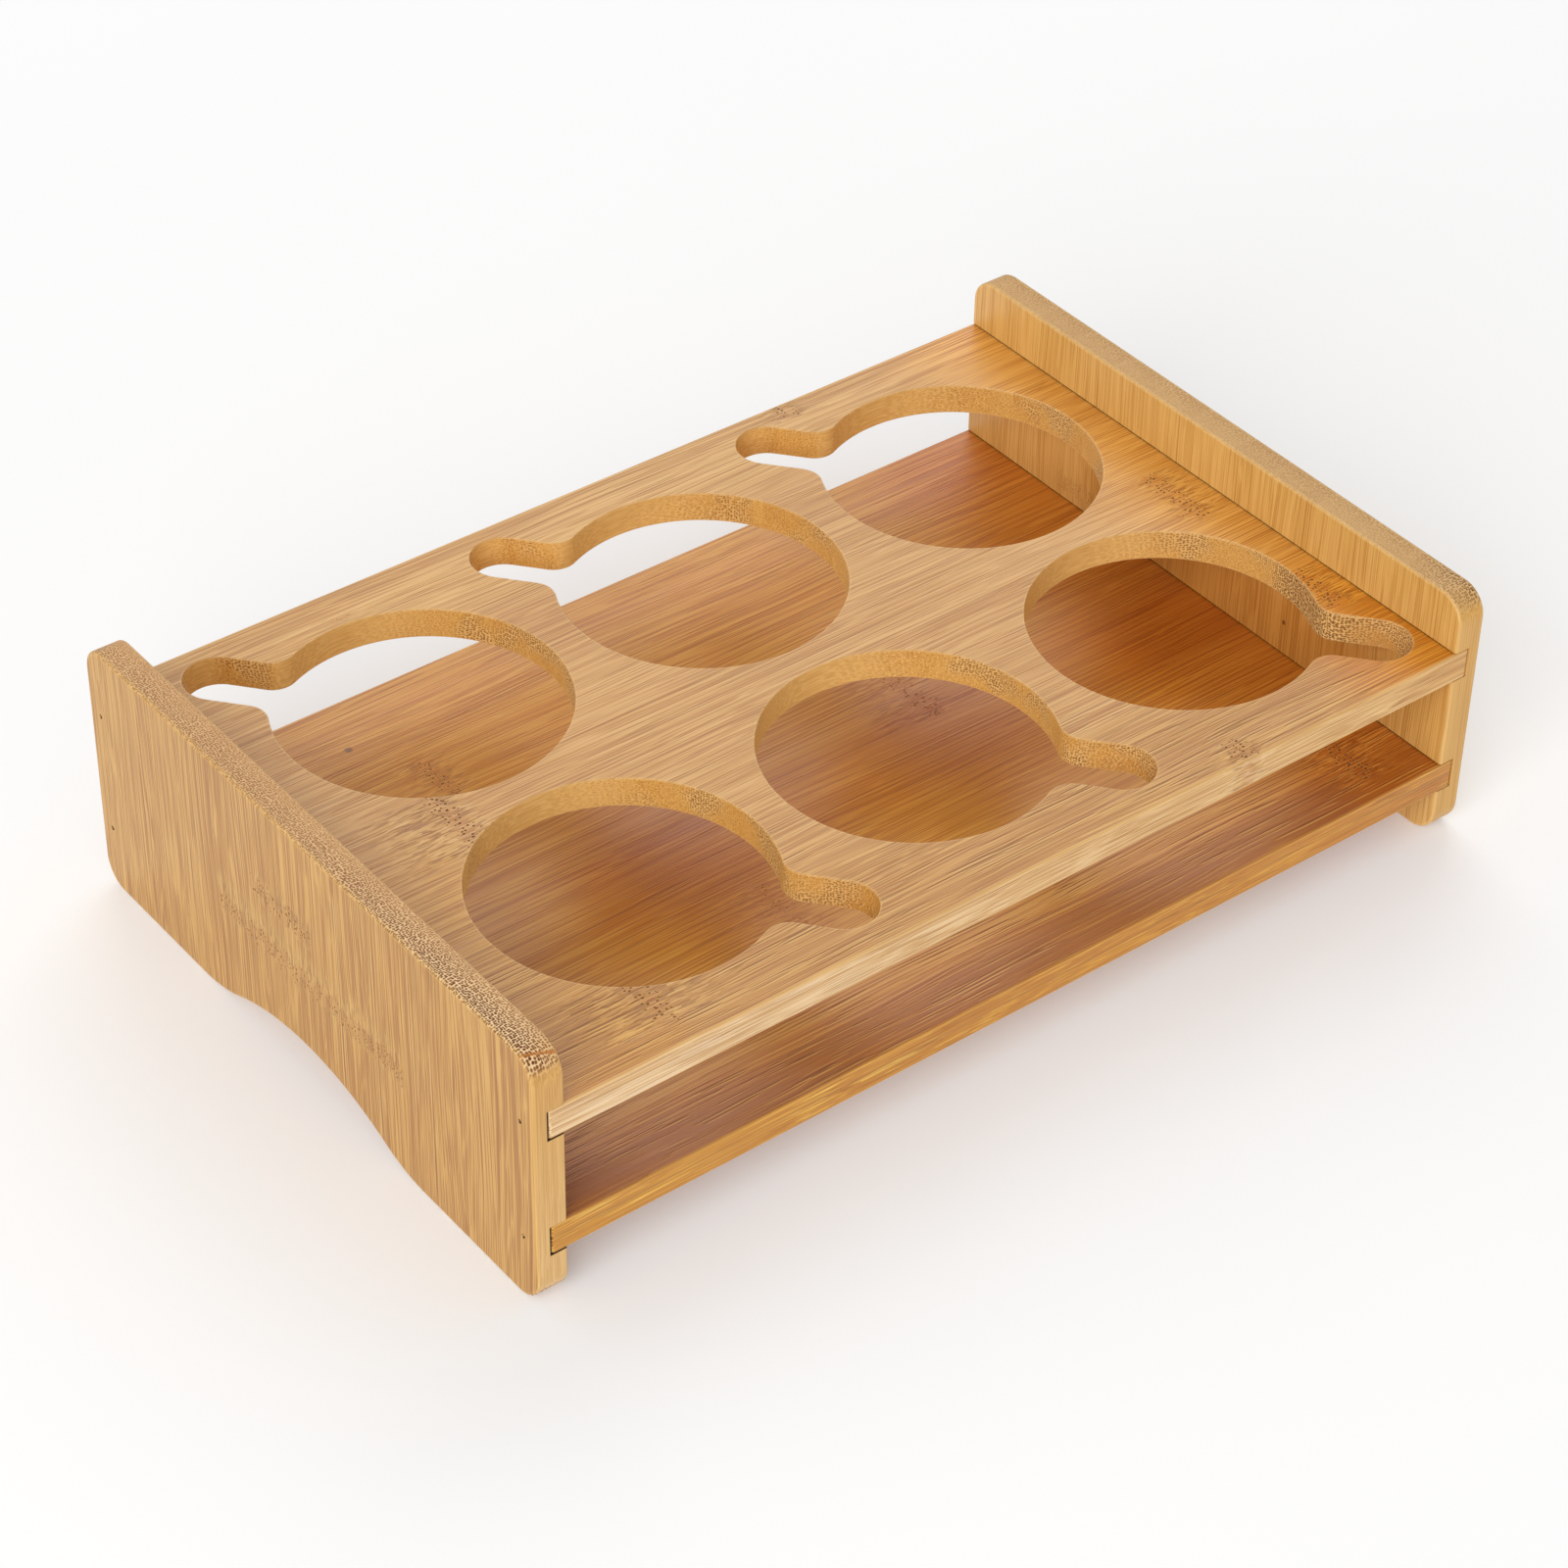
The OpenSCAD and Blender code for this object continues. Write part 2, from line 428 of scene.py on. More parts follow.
# ---------------------------------------------------------------- node helpers
class Tree:
    def __init__(self, name):
        self.mat = bpy.data.materials.new(name)
        self.mat.use_nodes = True
        self.nt = self.mat.node_tree
        self.nt.nodes.clear()

    def n(self, kind, **props):
        node = self.nt.nodes.new(kind)
        for k, v in props.items():
            setattr(node, k, v)
        return node

    def put(self, sock, v):
        if isinstance(v, bpy.types.NodeSocket):
            self.nt.links.new(v, sock)
        elif v is not None:
            sock.default_value = v

    def m(self, op, a, b=None, c=None, clamp=False):
        node = self.n("ShaderNodeMath", operation=op, use_clamp=clamp)
        for s, v in zip(node.inputs, (a, b, c)):
            self.put(s, v)
        return node.outputs[0]

    def add(self, *vs):
        out = vs[0]
        for v in vs[1:]:
            out = self.m("ADD", out, v)
        return out

    def mul(self, *vs):
        out = vs[0]
        for v in vs[1:]:
            out = self.m("MULTIPLY", out, v)
        return out

    def sep(self, v):
        node = self.n("ShaderNodeSeparateXYZ")
        self.put(node.inputs[0], v)
        return node.outputs[0], node.outputs[1], node.outputs[2]

    def xyz(self, x, y, z):
        node = self.n("ShaderNodeCombineXYZ")
        for s, v in zip(node.inputs, (x, y, z)):
            self.put(s, v)
        return node.outputs[0]

    def noise(self, vec, detail=2.0, rough=0.5, dist=0.0, scale=1.0, colour=False):
        node = self.n("ShaderNodeTexNoise")
        self.put(node.inputs["Vector"], vec)
        node.inputs["Scale"].default_value = scale
        node.inputs["Detail"].default_value = detail
        node.inputs["Roughness"].default_value = rough
        node.inputs["Distortion"].default_value = dist
        return node.outputs[1 if colour else 0]

    def cells(self, vec, feature="F1", randomness=1.0):
        """Cells over the first two coordinates."""
        node = self.n("ShaderNodeTexVoronoi", feature=feature, voronoi_dimensions="2D")
        self.put(node.inputs["Vector"], vec)
        node.inputs["Scale"].default_value = 1.0
        node.inputs["Randomness"].default_value = randomness
        return node.outputs["Distance"], node.outputs["Color"]

    def white(self, w):
        node = self.n("ShaderNodeTexWhiteNoise", noise_dimensions="1D")
        self.put(node.inputs["W"], w)
        s = self.n("ShaderNodeSeparateColor")
        self.put(s.inputs[0], node.outputs["Color"])
        return s.outputs[0], s.outputs[1], s.outputs[2]

    def map(self, v, a, b, c=0.0, d=1.0, smooth=True):
        node = self.n("ShaderNodeMapRange", interpolation_type="SMOOTHSTEP" if smooth else "LINEAR", clamp=True)
        for s, x in zip(node.inputs, (v, a, b, c, d)):
            self.put(s, x)
        return node.outputs[0]

    def mixf(self, f, a, b):
        node = self.n("ShaderNodeMix", data_type="FLOAT")
        self.put(node.inputs[0], f)
        self.put(node.inputs[2], a)
        self.put(node.inputs[3], b)
        return node.outputs[0]

    def mixc(self, f, a, b, blend="MIX"):
        node = self.n("ShaderNodeMix", data_type="RGBA", blend_type=blend)
        self.put(node.inputs[0], f)
        for s, v in ((node.inputs[6], a), (node.inputs[7], b)):
            self.put(s, (*v, 1.0) if isinstance(v, tuple) and len(v) == 3 else v)
        return node.outputs[2]

    def ramp(self, f, stops):
        node = self.n("ShaderNodeValToRGB")
        node.color_ramp.interpolation = "B_SPLINE" if len(stops) > 3 else "LINEAR"
        els = node.color_ramp.elements
        while len(els) < len(stops):
            els.new(0.5)
        for e, (p, c) in zip(els, stops):
            e.position, e.color = p, (*c, 1.0)
        self.put(node.inputs[0], f)
        return node.outputs[0]


# ---------------------------------------------------------------- bamboo
def bamboo(name, fibre, strip_w, strip_at, seed, light, mid, dark, knuckles=(), spots=(), pore=0.82, skin=None,
           groove=None, groove_all=0.25, contrast=1.0, end_tint=(1.0, 0.95, 0.80), end_dark=0.8, end_zone=None,
           layers=(), tone=0.10, gloss=(0.36, 0.50), arris_light=0.35, seams=0.12, front=None, shade=(), along=(),
           joint_gap_shade=None, broad_by=0.75, ior=1.52, pore_dark=(0.17, 0.10, 0.02), pore_deep=(0.45, 1.0), grooves=(),
           wall=None, knot=0.35, knot_tint=(1.06, 1.16, 1.25),
           pit_dark=(0.40, 0.26, 0.12), midst_by=0.42,
           across=(), calm=0.0, glue=None, jitter=0.78, coarse=None, reaches=(0.33, 0.41), ring_tint=None,
           end_span=(0.35, 0.90), painted_light_and_shade=()):
    """Solid bamboo board. fibre is the axis its fibres run along. The pattern is solid: bundles are long thin cells
    that show as streaks on the faces and as pores on the ends. knuckles are (along, across, half width, strength,
    reach before, reach after); front is (tint, tint, from, to) of the narrow front and back edges; shade is
    (from, to, amount) across the board, along is (from, to, tint) along it (painted shadow and painted reflection
    near the right board), grooves are (across, from, to, strength) of open grooves in a face, wall tints the walls of
    holes, across is (from, to, tint), calm flattens the pattern of the front edge, and glue is (across, slope) of a
    glue line over the end grain. joint_gap_shade is (least |x|, greatest |x|) of surfaces inside a joint, painted
    near black as painted shade in the joint gaps. jitter is how uneven the bundles lie, reaches their size
    away from the skin and at it, ring_tint the colour between them, end_span how square to the fibres a surface has to
    be to show them as pores, and coarse is ((from, to), (from, to),
    (from, to)), where its large dark bundles start along the board, start across it, and stop.
    painted_light_and_shade is ((start, full, full, end) along, the same across, tint) of painted shade and painted
    light on broad parts of the faces."""
    t = Tree(name)
    tc = t.n("ShaderNodeTexCoord")
    scaled = t.n("ShaderNodeVectorMath", operation="SCALE")
    t.put(scaled.inputs[0], tc.outputs["Object"])
    scaled.inputs["Scale"].default_value = 1000.0
    x, y, z = t.sep(scaled.outputs[0])
    nx, ny, nz = t.sep(tc.outputs["Normal"])
    a, b, c, na = (x, y, z, nx) if fibre == "x" else (z, y, x, nz)
    end = t.map(t.m("ABSOLUTE", na), *end_span)
    less = lambda v, k: tuple(p * q for p, q in zip(v, k))
    off = lambda v, k: t.mul(t.m("SUBTRACT", v, 0.5), k)

    # strips glued side by side, each with its own cut of bamboo
    place = t.m("DIVIDE", t.m("SUBTRACT", b, strip_at), strip_w)
    r1, r2, r3 = t.white(t.m("ADD", t.m("FLOOR", place), seed * 1.37))
    frac = t.m("FRACT", place)
    edge = t.m("MULTIPLY", t.m("MINIMUM", frac, t.m("SUBTRACT", 1.0, frac)), strip_w)
    s1, s2, s3 = t.white(t.m("ADD", t.m("FLOOR", t.m("ADD", place, 0.5)), seed * 2.11 + 0.5))
    face = t.map(t.m("ABSOLUTE", nz if fibre == "x" else nx), 0.5, 0.85)
    seam = t.mul(t.map(edge, 0.04, 0.30, 1.0, 0.0), t.map(s1, 0.35, 0.8), face)
    al = t.m("MULTIPLY_ADD", r1, 700.0, t.m("ADD", a, seed * 31.0))
    cl = t.m("MULTIPLY_ADD", r2, 60.0, c)

    # slow drift of the fibres, and their swirl round a knuckle
    drift = t.noise(t.xyz(t.mul(al, 0.011), t.mul(b, 0.05), t.mul(cl, 0.05)), 1.0)
    swirl = t.noise(t.xyz(t.mul(al, 0.09), t.mul(b, 0.20), t.mul(cl, 0.20)), 2.0)
    ragged = t.noise(t.xyz(t.mul(a, 0.05), t.mul(b, 0.45), t.mul(c, 0.2)), 2.0)
    wide = narrow = None
    for a0, b0, hb, s, before, after in knuckles:
        da = t.m("SUBTRACT", a, a0)
        dn = t.m("ABSOLUTE", t.add(da, off(ragged, 7.0)))
        inside = t.map(t.m("ABSOLUTE", t.m("SUBTRACT", b, b0)), hb - 1.0, hb + 1.2, s, 0.0)
        w = t.mul(t.map(da, -before, -before * 0.25), t.map(da, after * 0.25, after, 1.0, 0.0), inside)
        q = t.mul(t.map(dn, 1.4, 3.6, 1.0, 0.0), inside)
        wide = w if wide is None else t.m("MAXIMUM", wide, w)
        narrow = q if narrow is None else t.m("MAXIMUM", narrow, q)
    bl = t.add(b, off(drift, 5.0), t.mul(off(swirl, 1.5), wide))

    # fibre bundles
    wander = t.noise(t.xyz(t.mul(al, 0.022), t.mul(b, 0.16), t.mul(cl, 0.16)), 1.0)
    d1, tint = t.cells(t.xyz(t.mul(bl, 1 / pore), t.mul(t.add(cl, off(wander, 3.0)), 1 / pore), 0.0), randomness=jitter)
    tr, tg, tb = t.sep(tint)
    if skin:
        side = t.map(c, skin[0], skin[1])  # 1 towards the skin, where the bundles crowd
        reach = t.mixf(side, *reaches)
        depth = t.mixf(side, 0.50, 1.0)
    else:
        clump = t.noise(t.xyz(t.mul(a, 0.10), t.mul(b, 0.10), t.mul(c, 0.10)), 1.0)
        reach, depth = 0.34, t.map(clump, 0.44, 0.66, *pore_deep)
        if coarse:
            at = t.add(b, off(clump, 12.0))
            rich = t.mul(t.map(a, *coarse[0]), t.map(at, *coarse[1]), t.map(at, *coarse[2], 1.0, 0.0))
            reach, depth = t.mixf(rich, 0.34, 0.39), t.m("MAXIMUM", depth, rich)
    if end_zone:
        depth = t.mul(depth, t.map(b, end_zone[0], end_zone[1], end_zone[2], 1.0))
    bundle = t.mul(t.map(d1, t.m("ADD", reach, 0.05), t.m("SUBTRACT", reach, 0.06), 0.0, 1.0), t.mixf(tr, 0.66, 1.0))
    ring = t.map(d1, t.m("ADD", reach, 0.0), t.m("ADD", reach, 0.12))
    fade = t.noise(t.xyz(t.mul(al, 0.045), t.mul(bl, 0.8), t.mul(cl, 0.8)), 1.0)
    rods = t.mul(t.m("SUBTRACT", bundle, t.mul(ring, 0.7)), t.map(fade, 0.32, 0.66, 0.25, 1.0), t.m("SUBTRACT", 1.0, end))

    # ground and streaks
    fine = t.noise(t.xyz(t.mul(al, 0.020), t.mul(bl, 3.7), t.mul(cl, 3.7)), 2.0, 0.65)
    midst = t.noise(t.xyz(t.mul(al, 0.008), t.mul(bl, 1.0), t.mul(cl, 0.9)), 3.0, 0.65)
    broad = t.noise(t.xyz(t.mul(al, 0.005), t.mul(b, 0.14), t.mul(cl, 0.11)), 2.0, 0.5)
    hair = t.noise(t.xyz(t.mul(al, 0.016), t.mul(bl, 4.2), t.mul(cl, 4.2)), 1.0, 0.5)
    lines = t.map(hair, 0.53, 0.60)
    gleams = t.map(hair, 0.46, 0.39)
    patch = t.noise(t.xyz(t.mul(al, 0.018), t.mul(b, 0.09), t.mul(cl, 0.05)), 1.0, 0.5)
    dash_at = lambda shift: t.map(
        t.noise(t.xyz(t.mul(al, 0.052), t.mul(t.m("ADD", bl, shift), 2.1), t.mul(cl, 2.1)), 1.0, 0.5), 0.61, 0.645
    )
    zone = groove_all
    if groove:
        g0, g1 = groove
        zone = t.m("MAXIMUM", groove_all, t.mul(t.map(b, g0 - 5, g0 + 3), t.map(b, g1 - 3, g1 + 5, 1.0, 0.0)))
    zone = t.mul(zone, t.map(patch, 0.35, 0.62, 0.35, 1.0))
    dashes = t.mul(dash_at(0.0), zone)
    glints = t.mul(dash_at(0.36), zone)
    short = t.noise(t.xyz(t.mul(al, 0.23), t.mul(bl, 2.1), t.mul(cl, 2.1)), 1.0, 0.5)
    shorts = t.mul(t.map(short, 0.54, 0.60), wide)
    shortl = t.mul(t.map(t.noise(t.xyz(t.mul(al, 0.19), t.mul(t.m("ADD", bl, 0.42), 1.8), t.mul(cl, 1.8)), 1.0, 0.5), 0.55, 0.62), wide)
    # pits where a knuckle's fibres come up to the surface, with a painted highlight round their rims
    dp, pc = t.cells(t.xyz(t.mul(a, 1 / 1.5), t.mul(b, 1 / 1.1), 0.0))
    pr, pg, pb = t.sep(pc)
    pick = t.mul(t.map(pr, 0.30, 0.34), narrow, face)
    size = t.mixf(pg, 0.15, 0.29)
    pits = t.mul(t.map(t.m("SUBTRACT", dp, size), -0.05, 0.07, 1.0, 0.0), pick)
    pit_rim_highlight = t.mul(t.map(t.m("SUBTRACT", dp, size), 0.10, 0.22, 1.0, 0.0), pick)

    value = t.add(
        0.56,
        off(midst, midst_by * contrast),
        off(fine, 1.75 * contrast),
        off(broad, broad_by),
        off(r3, tone * 2),
        t.mul(lines, -0.34 * contrast),
        t.mul(lines, zone, -0.35),
        t.mul(gleams, 0.30 * contrast),
        t.mul(rods, -0.42 * contrast),
        t.mul(wide, off(swirl, 0.8)),
        *[t.map(b, b0, b1, 0.0, s) for b0, b1, s in shade],
    )
    col = t.ramp(value, [(0.0, dark), (0.30, tuple((d + m_) / 2 for d, m_ in zip(dark, mid))), (0.55, mid), (1.0, light)])
    col = t.mixc(t.mul(wide, knot), col, less(mid, knot_tint))
    pale = tuple(min(1.0, v * k) for v, k in zip(light, (1.12, 1.22, 1.50)))
    deep = less(dark, (0.66, 0.54, 0.48))
    col = t.mixc(t.mul(glints, 0.75), col, pale)
    col = t.mixc(t.mul(dashes, 0.85), col, deep)
    col = t.mixc(t.mul(shortl, 0.55), col, pale)
    col = t.mixc(t.mul(shorts, 0.70), col, deep)
    col = t.mixc(t.mul(narrow, 0.34), col, less(dark, (1.10, 0.95, 0.85)))
    # painted highlight: a light ring round each pit
    col = t.mixc(t.mul(pit_rim_highlight, 0.60), col, light)
    col = t.mixc(t.mul(pits, 0.92), col, less(dark, pit_dark))
    col = t.mixc(t.mul(seam, seams, t.mixf(midst, 0.3, 1.2)), col, less(dark, (0.5, 0.42, 0.4)))
    # ends of the fibres
    col = t.mixc(end, col, t.mixc(1.0, col, end_tint, "MULTIPLY"))
    if wall:
        inner = t.mul(t.map(t.m("ABSOLUTE", nz), 0.6, 0.3), t.map(t.m("ABSOLUTE", b), HALF_Y - 2.0, HALF_Y - 1.5, 1.0, 0.0))
        col = t.mixc(inner, col, t.mixc(1.0, col, wall, "MULTIPLY"))
        smooth_and_painted_lit_walls = t.mul(inner, t.map(nx, -0.80, -0.30))  # walls facing away from -x are paler: those along the fibres are smoother, and those facing +x carry painted light
        col = t.mixc(t.mul(smooth_and_painted_lit_walls, 0.6), col, tuple(0.55 * p + 0.45 * q for p, q in zip(mid, light)))
        col = t.mixc(smooth_and_painted_lit_walls, col, t.mixc(1.0, col, (1.20, 1.36, 1.60), "MULTIPLY"))
    col = t.mixc(t.mul(end, ring, depth, 0.9), col, ring_tint or less(pale, end_tint))
    pore_col = t.mixc(rich, less(dark, pore_dark), less(dark, (0.26, 0.16, 0.12))) if coarse else less(dark, pore_dark)
    col = t.mixc(t.mul(end, bundle, depth, end_dark), col, pore_col)
    for b0, a0, a1, s in grooves:
        at = t.m("SUBTRACT", t.add(b, off(drift, 1.6), off(wander, 0.5)), b0)
        run = t.mul(t.map(a, a0, a0 + 4.0), t.map(a, a1 - 4.0, a1, 1.0, 0.0), t.map(fade, 0.30, 0.50, 0.25, 1.0), face)
        col = t.mixc(t.mul(t.map(t.m("ABSOLUTE", t.m("SUBTRACT", at, 0.42)), 0.10, 0.26, s * 0.8, 0.0), run), col, pale)
        col = t.mixc(t.mul(t.map(t.m("ABSOLUTE", at), 0.10, 0.28, s, 0.0), run), col, deep)
    if front:
        f0, f1, at0, at1 = front
        narrow_edge = t.mul(t.map(t.m("ABSOLUTE", ny), 0.55, 0.9), t.map(t.m("ABSOLUTE", b), HALF_Y - 1.2, HALF_Y - 0.5))
        tintf = t.mixc(t.map(a, at0, at1, smooth=False), f0, f1)
        col = t.mixc(t.mul(narrow_edge, calm), col, tuple(0.62 * p + 0.38 * q for p, q in zip(mid, light)))
        col = t.mixc(narrow_edge, col, t.mixc(1.0, col, tintf, "MULTIPLY"))
    for c0, half, strength, tintc in layers:  # a glue line between plies
        ply = t.map(t.m("ABSOLUTE", t.m("SUBTRACT", c, t.add(c0, off(midst, 0.5)))), half * 0.4, half, strength, 0.0)
        col = t.mixc(t.mul(ply, t.map(patch, 0.3, 0.6, 0.35, 1.0)), col, tintc)
    for a0, b0, c0, r, s, tintc in spots:
        away = t.m(
            "SQRT",
            t.add(
                t.m("POWER", t.m("SUBTRACT", a, a0), 2.0),
                t.m("POWER", t.m("SUBTRACT", b, b0), 2.0),
                t.m("POWER", t.m("SUBTRACT", c, c0), 2.0),
            ),
        )
        col = t.mixc(t.map(t.add(away, off(fine, r)), r * 0.4, r * 1.2, s, 0.0), col, tintc)
    for b0, b1, tintb in across:
        col = t.mixc(t.mul(t.map(b, b0, b1), face), col, t.mixc(1.0, col, tintb, "MULTIPLY"))
    if glue:
        at = t.m("ABSOLUTE", t.add(b, t.mul(t.m("SUBTRACT", c, skin[1]), glue[1]), off(wander, 1.0), off(swirl, 1.2), -glue[0]))
        col = t.mixc(t.mul(t.map(at, 0.10, 0.55, 0.85, 0.0), t.map(fade, 0.2, 0.5, 0.5, 1.0), end), col, (0.50, 0.16, 0.015))
    al_, bl_ = t.add(a, off(broad, 14.0)), t.add(b, off(midst, 3.0))
    # painted shadow and painted reflection near the right board, as tints along the board
    for a0, a1, tinta in along:
        col = t.mixc(t.mul(t.map(a, a0, a1), face), col, t.mixc(1.0, col, tinta, "MULTIPLY"))
    # painted shade and painted light on broad parts of the faces
    for (a0, a1, a2, a3), (b0, b1, b2, b3), tintt in painted_light_and_shade:
        part = t.mul(t.map(al_, a0, a1), t.map(al_, a2, a3, 1.0, 0.0), t.map(bl_, b0, b1), t.map(bl_, b2, b3, 1.0, 0.0), face)
        col = t.mixc(part, col, t.mixc(1.0, col, tintt, "MULTIPLY"))
    # painted shade: surfaces inside the joints, and the tongue ends at the left housing floors, are painted near black
    # for the shade in the joint gaps
    if joint_gap_shade:
        ax = t.m("ABSOLUTE", x)
        inside = t.mul(
            t.map(ax, joint_gap_shade[0], joint_gap_shade[0] + 0.2), t.map(ax, joint_gap_shade[1], joint_gap_shade[1] + 0.1, 1.0, 0.0),
            t.map(t.m("ABSOLUTE", nz), 0.6, 0.9), joint_gap_shade[2](t, z),
            # less painted shade near the ends of the right joints, where glue closes the gaps
            t.m("MAXIMUM", t.map(x, 0.0, -1.0), t.map(t.m("ABSOLUTE", y), HALF_Y - 0.8, HALF_Y - 4.0, 0.1, 1.0)),
        )
        butt = t.mul(
            t.map(ax, FLOOR_X - 1.2, FLOOR_X - 0.8), t.map(ax, FLOOR_X + 0.4, FLOOR_X + 0.8, 1.0, 0.0),
            t.map(t.m("ABSOLUTE", nx), 0.6, 0.9), t.map(x, 0.0, -1.0),
        )
        col = t.mixc(t.mul(t.m("MAXIMUM", inside, butt), 0.92), col, (0.060, 0.022, 0.006))
    # painted highlight: the rounded edges are paler, as where they catch the light
    edge_highlight = t.n("ShaderNodeAttribute", attribute_name="arris", attribute_type="GEOMETRY").outputs["Fac"]
    painted_edge_highlight = t.mul(edge_highlight, t.map(midst, 0.3, 0.65, 0.4, 1.0), arris_light)
    col = t.mixc(painted_edge_highlight, col, pale)

    bs = t.n("ShaderNodeBsdfPrincipled")
    t.put(bs.inputs["Base Color"], col)
    rough = t.add(gloss[0], off(fine, 0.12), t.mul(end, gloss[1] - gloss[0]), t.mul(pits, 0.4),
                  t.mul(dashes, 0.12), t.mul(end, bundle, depth, 0.3))
    t.put(bs.inputs["Roughness"], rough)
    bs.inputs["IOR"].default_value = ior
    height = t.add(
        t.mul(fine, 0.016),
        t.mul(lines, -0.012),
        t.mul(rods, -0.010),
        t.mul(midst, 0.014),
        t.mul(dashes, -0.06),
        t.mul(shorts, -0.05),
        t.mul(pits, -0.14),
        t.mul(seam, -0.03 * seams),
        t.mul(bundle, end, depth, -0.10),
    )
    bump = t.n("ShaderNodeBump")
    bump.inputs["Strength"].default_value = 1.0
    bump.inputs["Distance"].default_value = 0.001
    t.put(bump.inputs["Height"], t.mul(height, t.map(edge, 0.0, 1.3)))
    t.put(bs.inputs["Normal"], bump.outputs[0])
    out = t.n("ShaderNodeOutputMaterial")
    t.put(out.inputs["Surface"], bs.outputs[0])
    return t.mat


TOP_BAMBOO = bamboo(
    "bamboo_top", "x", 23.0, -12.0, 3,
    light=(0.74, 0.425, 0.140), mid=(0.62, 0.300, 0.068), dark=(0.43, 0.170, 0.030),
    knuckles=[(-93.5, 0.0, 11.0, 1.0, 27.0, 9.0), (-94.5, -72.0, 9.5, 0.9, 25.0, 22.0),
              (117.5, -1.5, 11.0, 1.0, 8.0, 12.0), (119.5, -50.0, 9.0, 1.0, 7.0, 12.0),
              (63.0, 85.2, 3.6, 1.0, 9.0, 9.0), (62.0, -85.2, 4.6, 1.0, 9.0, 9.0), (-74.5, 77.0, 3.0, 0.35, 8.0, 8.0)],
    groove=(-86.0, -42.0), groove_all=0.32, shade=[(-52.0, -72.0, -0.16)],
    front=((1.24, 1.60, 3.0), (1.15, 1.27, 1.45), -100.0, 134.0), arris_light=0.55,
    # along: painted reflection of the right board's orange inner face, with its warm bounce light, on the top board
    # beside it
    end_tint=(1.00, 1.02, 0.95), wall=(1.16, 1.22, 1.20), end_dark=0.85, along=[(84.0, 120.0, (1.20, 1.10, 0.72))], across=[(-45.0, -75.0, (0.97, 0.94, 0.72))], pore=0.62, contrast=1.0,
    broad_by=0.60, pore_dark=(0.55, 0.42, 0.25), pore_deep=(0.12, 1.0),
    joint_gap_shade=(INNER, OUTER, lambda t, z: 1.0), jitter=0.55, coarse=((86.0, 100.0), (-70.0, -62.0), (-40.0, -30.0)),
    # painted shade near the left board and at the front right by the right board, and painted light towards the back on
    # the left and middle
    painted_light_and_shade=[((-150.0, -140.0, -104.0, -90.0), (-100.0, -95.0, -20.0, 10.0), (1.0, 0.94, 0.64)),
           ((92.0, 106.0, 140.0, 150.0), (-100.0, -90.0, -46.0, -34.0), (1.0, 0.87, 0.50)),
           ((-150.0, -140.0, 70.0, 100.0), (58.0, 70.0, 100.0, 101.0), (1.05, 1.09, 1.10))],
)
SHELF_BAMBOO = bamboo(
    "bamboo_shelf", "x", 23.0, -14.0, 11,
    light=(0.78, 0.410, 0.078), mid=(0.65, 0.268, 0.030), dark=(0.44, 0.138, 0.011),
    knuckles=[(-66.0, 50.0, 8.5, 0.8, 12.0, 9.0), (111.0, -74.5, 8.0, 1.0, 14.0, 13.0),
              (44.0, 9.0, 11.0, 0.6, 20.0, 10.0), (-30.0, -37.0, 11.0, 0.5, 20.0, 10.0)],
    spots=[(-77.6, 71.0, SHELF[1][2], 1.2, 0.75, (0.15, 0.06, 0.02))],
    groove=(-88.0, -58.0), groove_all=0.35, contrast=0.84, shade=[(-70.0, -80.0, -0.62)], pore=0.72, knot=0.45, knot_tint=(0.97, 0.88, 0.85),
    # along: painted shadow of the right board, warmed by its bounce light, on the shelf beside it
    along=[(76.0, 106.0, (0.90, 0.72, 0.52))], across=[(-72.0, -80.0, (0.85, 0.84, 0.78))], ior=1.58, broad_by=0.55,
    joint_gap_shade=(INNER, OUTER, lambda t, z: 1.0),
    layers=[(SHELF[0][2] + 4.6, 0.30, 0.6, (0.30, 0.12, 0.03))],
    # painted shade and painted light on the shelf, where light falls in through the holes above: darker under the web
    # between the rows of holes, on the right of the front holes and at the front left; lighter at the back, on the left
    # of the middle and right front holes and at the front right
    painted_light_and_shade=[((-76.0, -58.0, 140.0, 150.0), (-30.0, -14.0, 1.0, 13.0), (0.86, 0.73, 0.56)),
           ((-150.0, -140.0, 140.0, 150.0), (5.0, 18.0, 100.0, 101.0), (1.07, 1.10, 1.05)),
           ((-60.0, -46.0, -30.0, -16.0), (-60.0, -48.0, 6.0, 14.0), (0.86, 0.79, 0.73)),
           ((22.0, 38.0, 54.0, 68.0), (-60.0, -48.0, 6.0, 14.0), (0.88, 0.82, 0.80)),
           ((-14.0, -6.0, 14.0, 24.0), (-60.0, -48.0, -8.0, 4.0), (1.10, 1.11, 1.00)),
           ((72.0, 82.0, 94.0, 106.0), (-60.0, -48.0, 6.0, 14.0), (1.12, 1.08, 0.76)),
           ((-150.0, -140.0, 140.0, 150.0), (-64.0, -52.0, -6.0, 8.0), (1.0, 0.98, 0.82)),
           ((96.0, 108.0, 140.0, 150.0), (-101.0, -100.0, -66.0, -56.0), (1.16, 1.20, 1.25)),
           ((-150.0, -140.0, -70.0, -30.0), (-101.0, -100.0, -62.0, -50.0), (0.86, 0.80, 0.72))],
    front=((1.25, 1.55, 1.25), (1.16, 1.26, 0.80), -100.0, 110.0), arris_light=0.30, gloss=(0.42, 0.55),
)
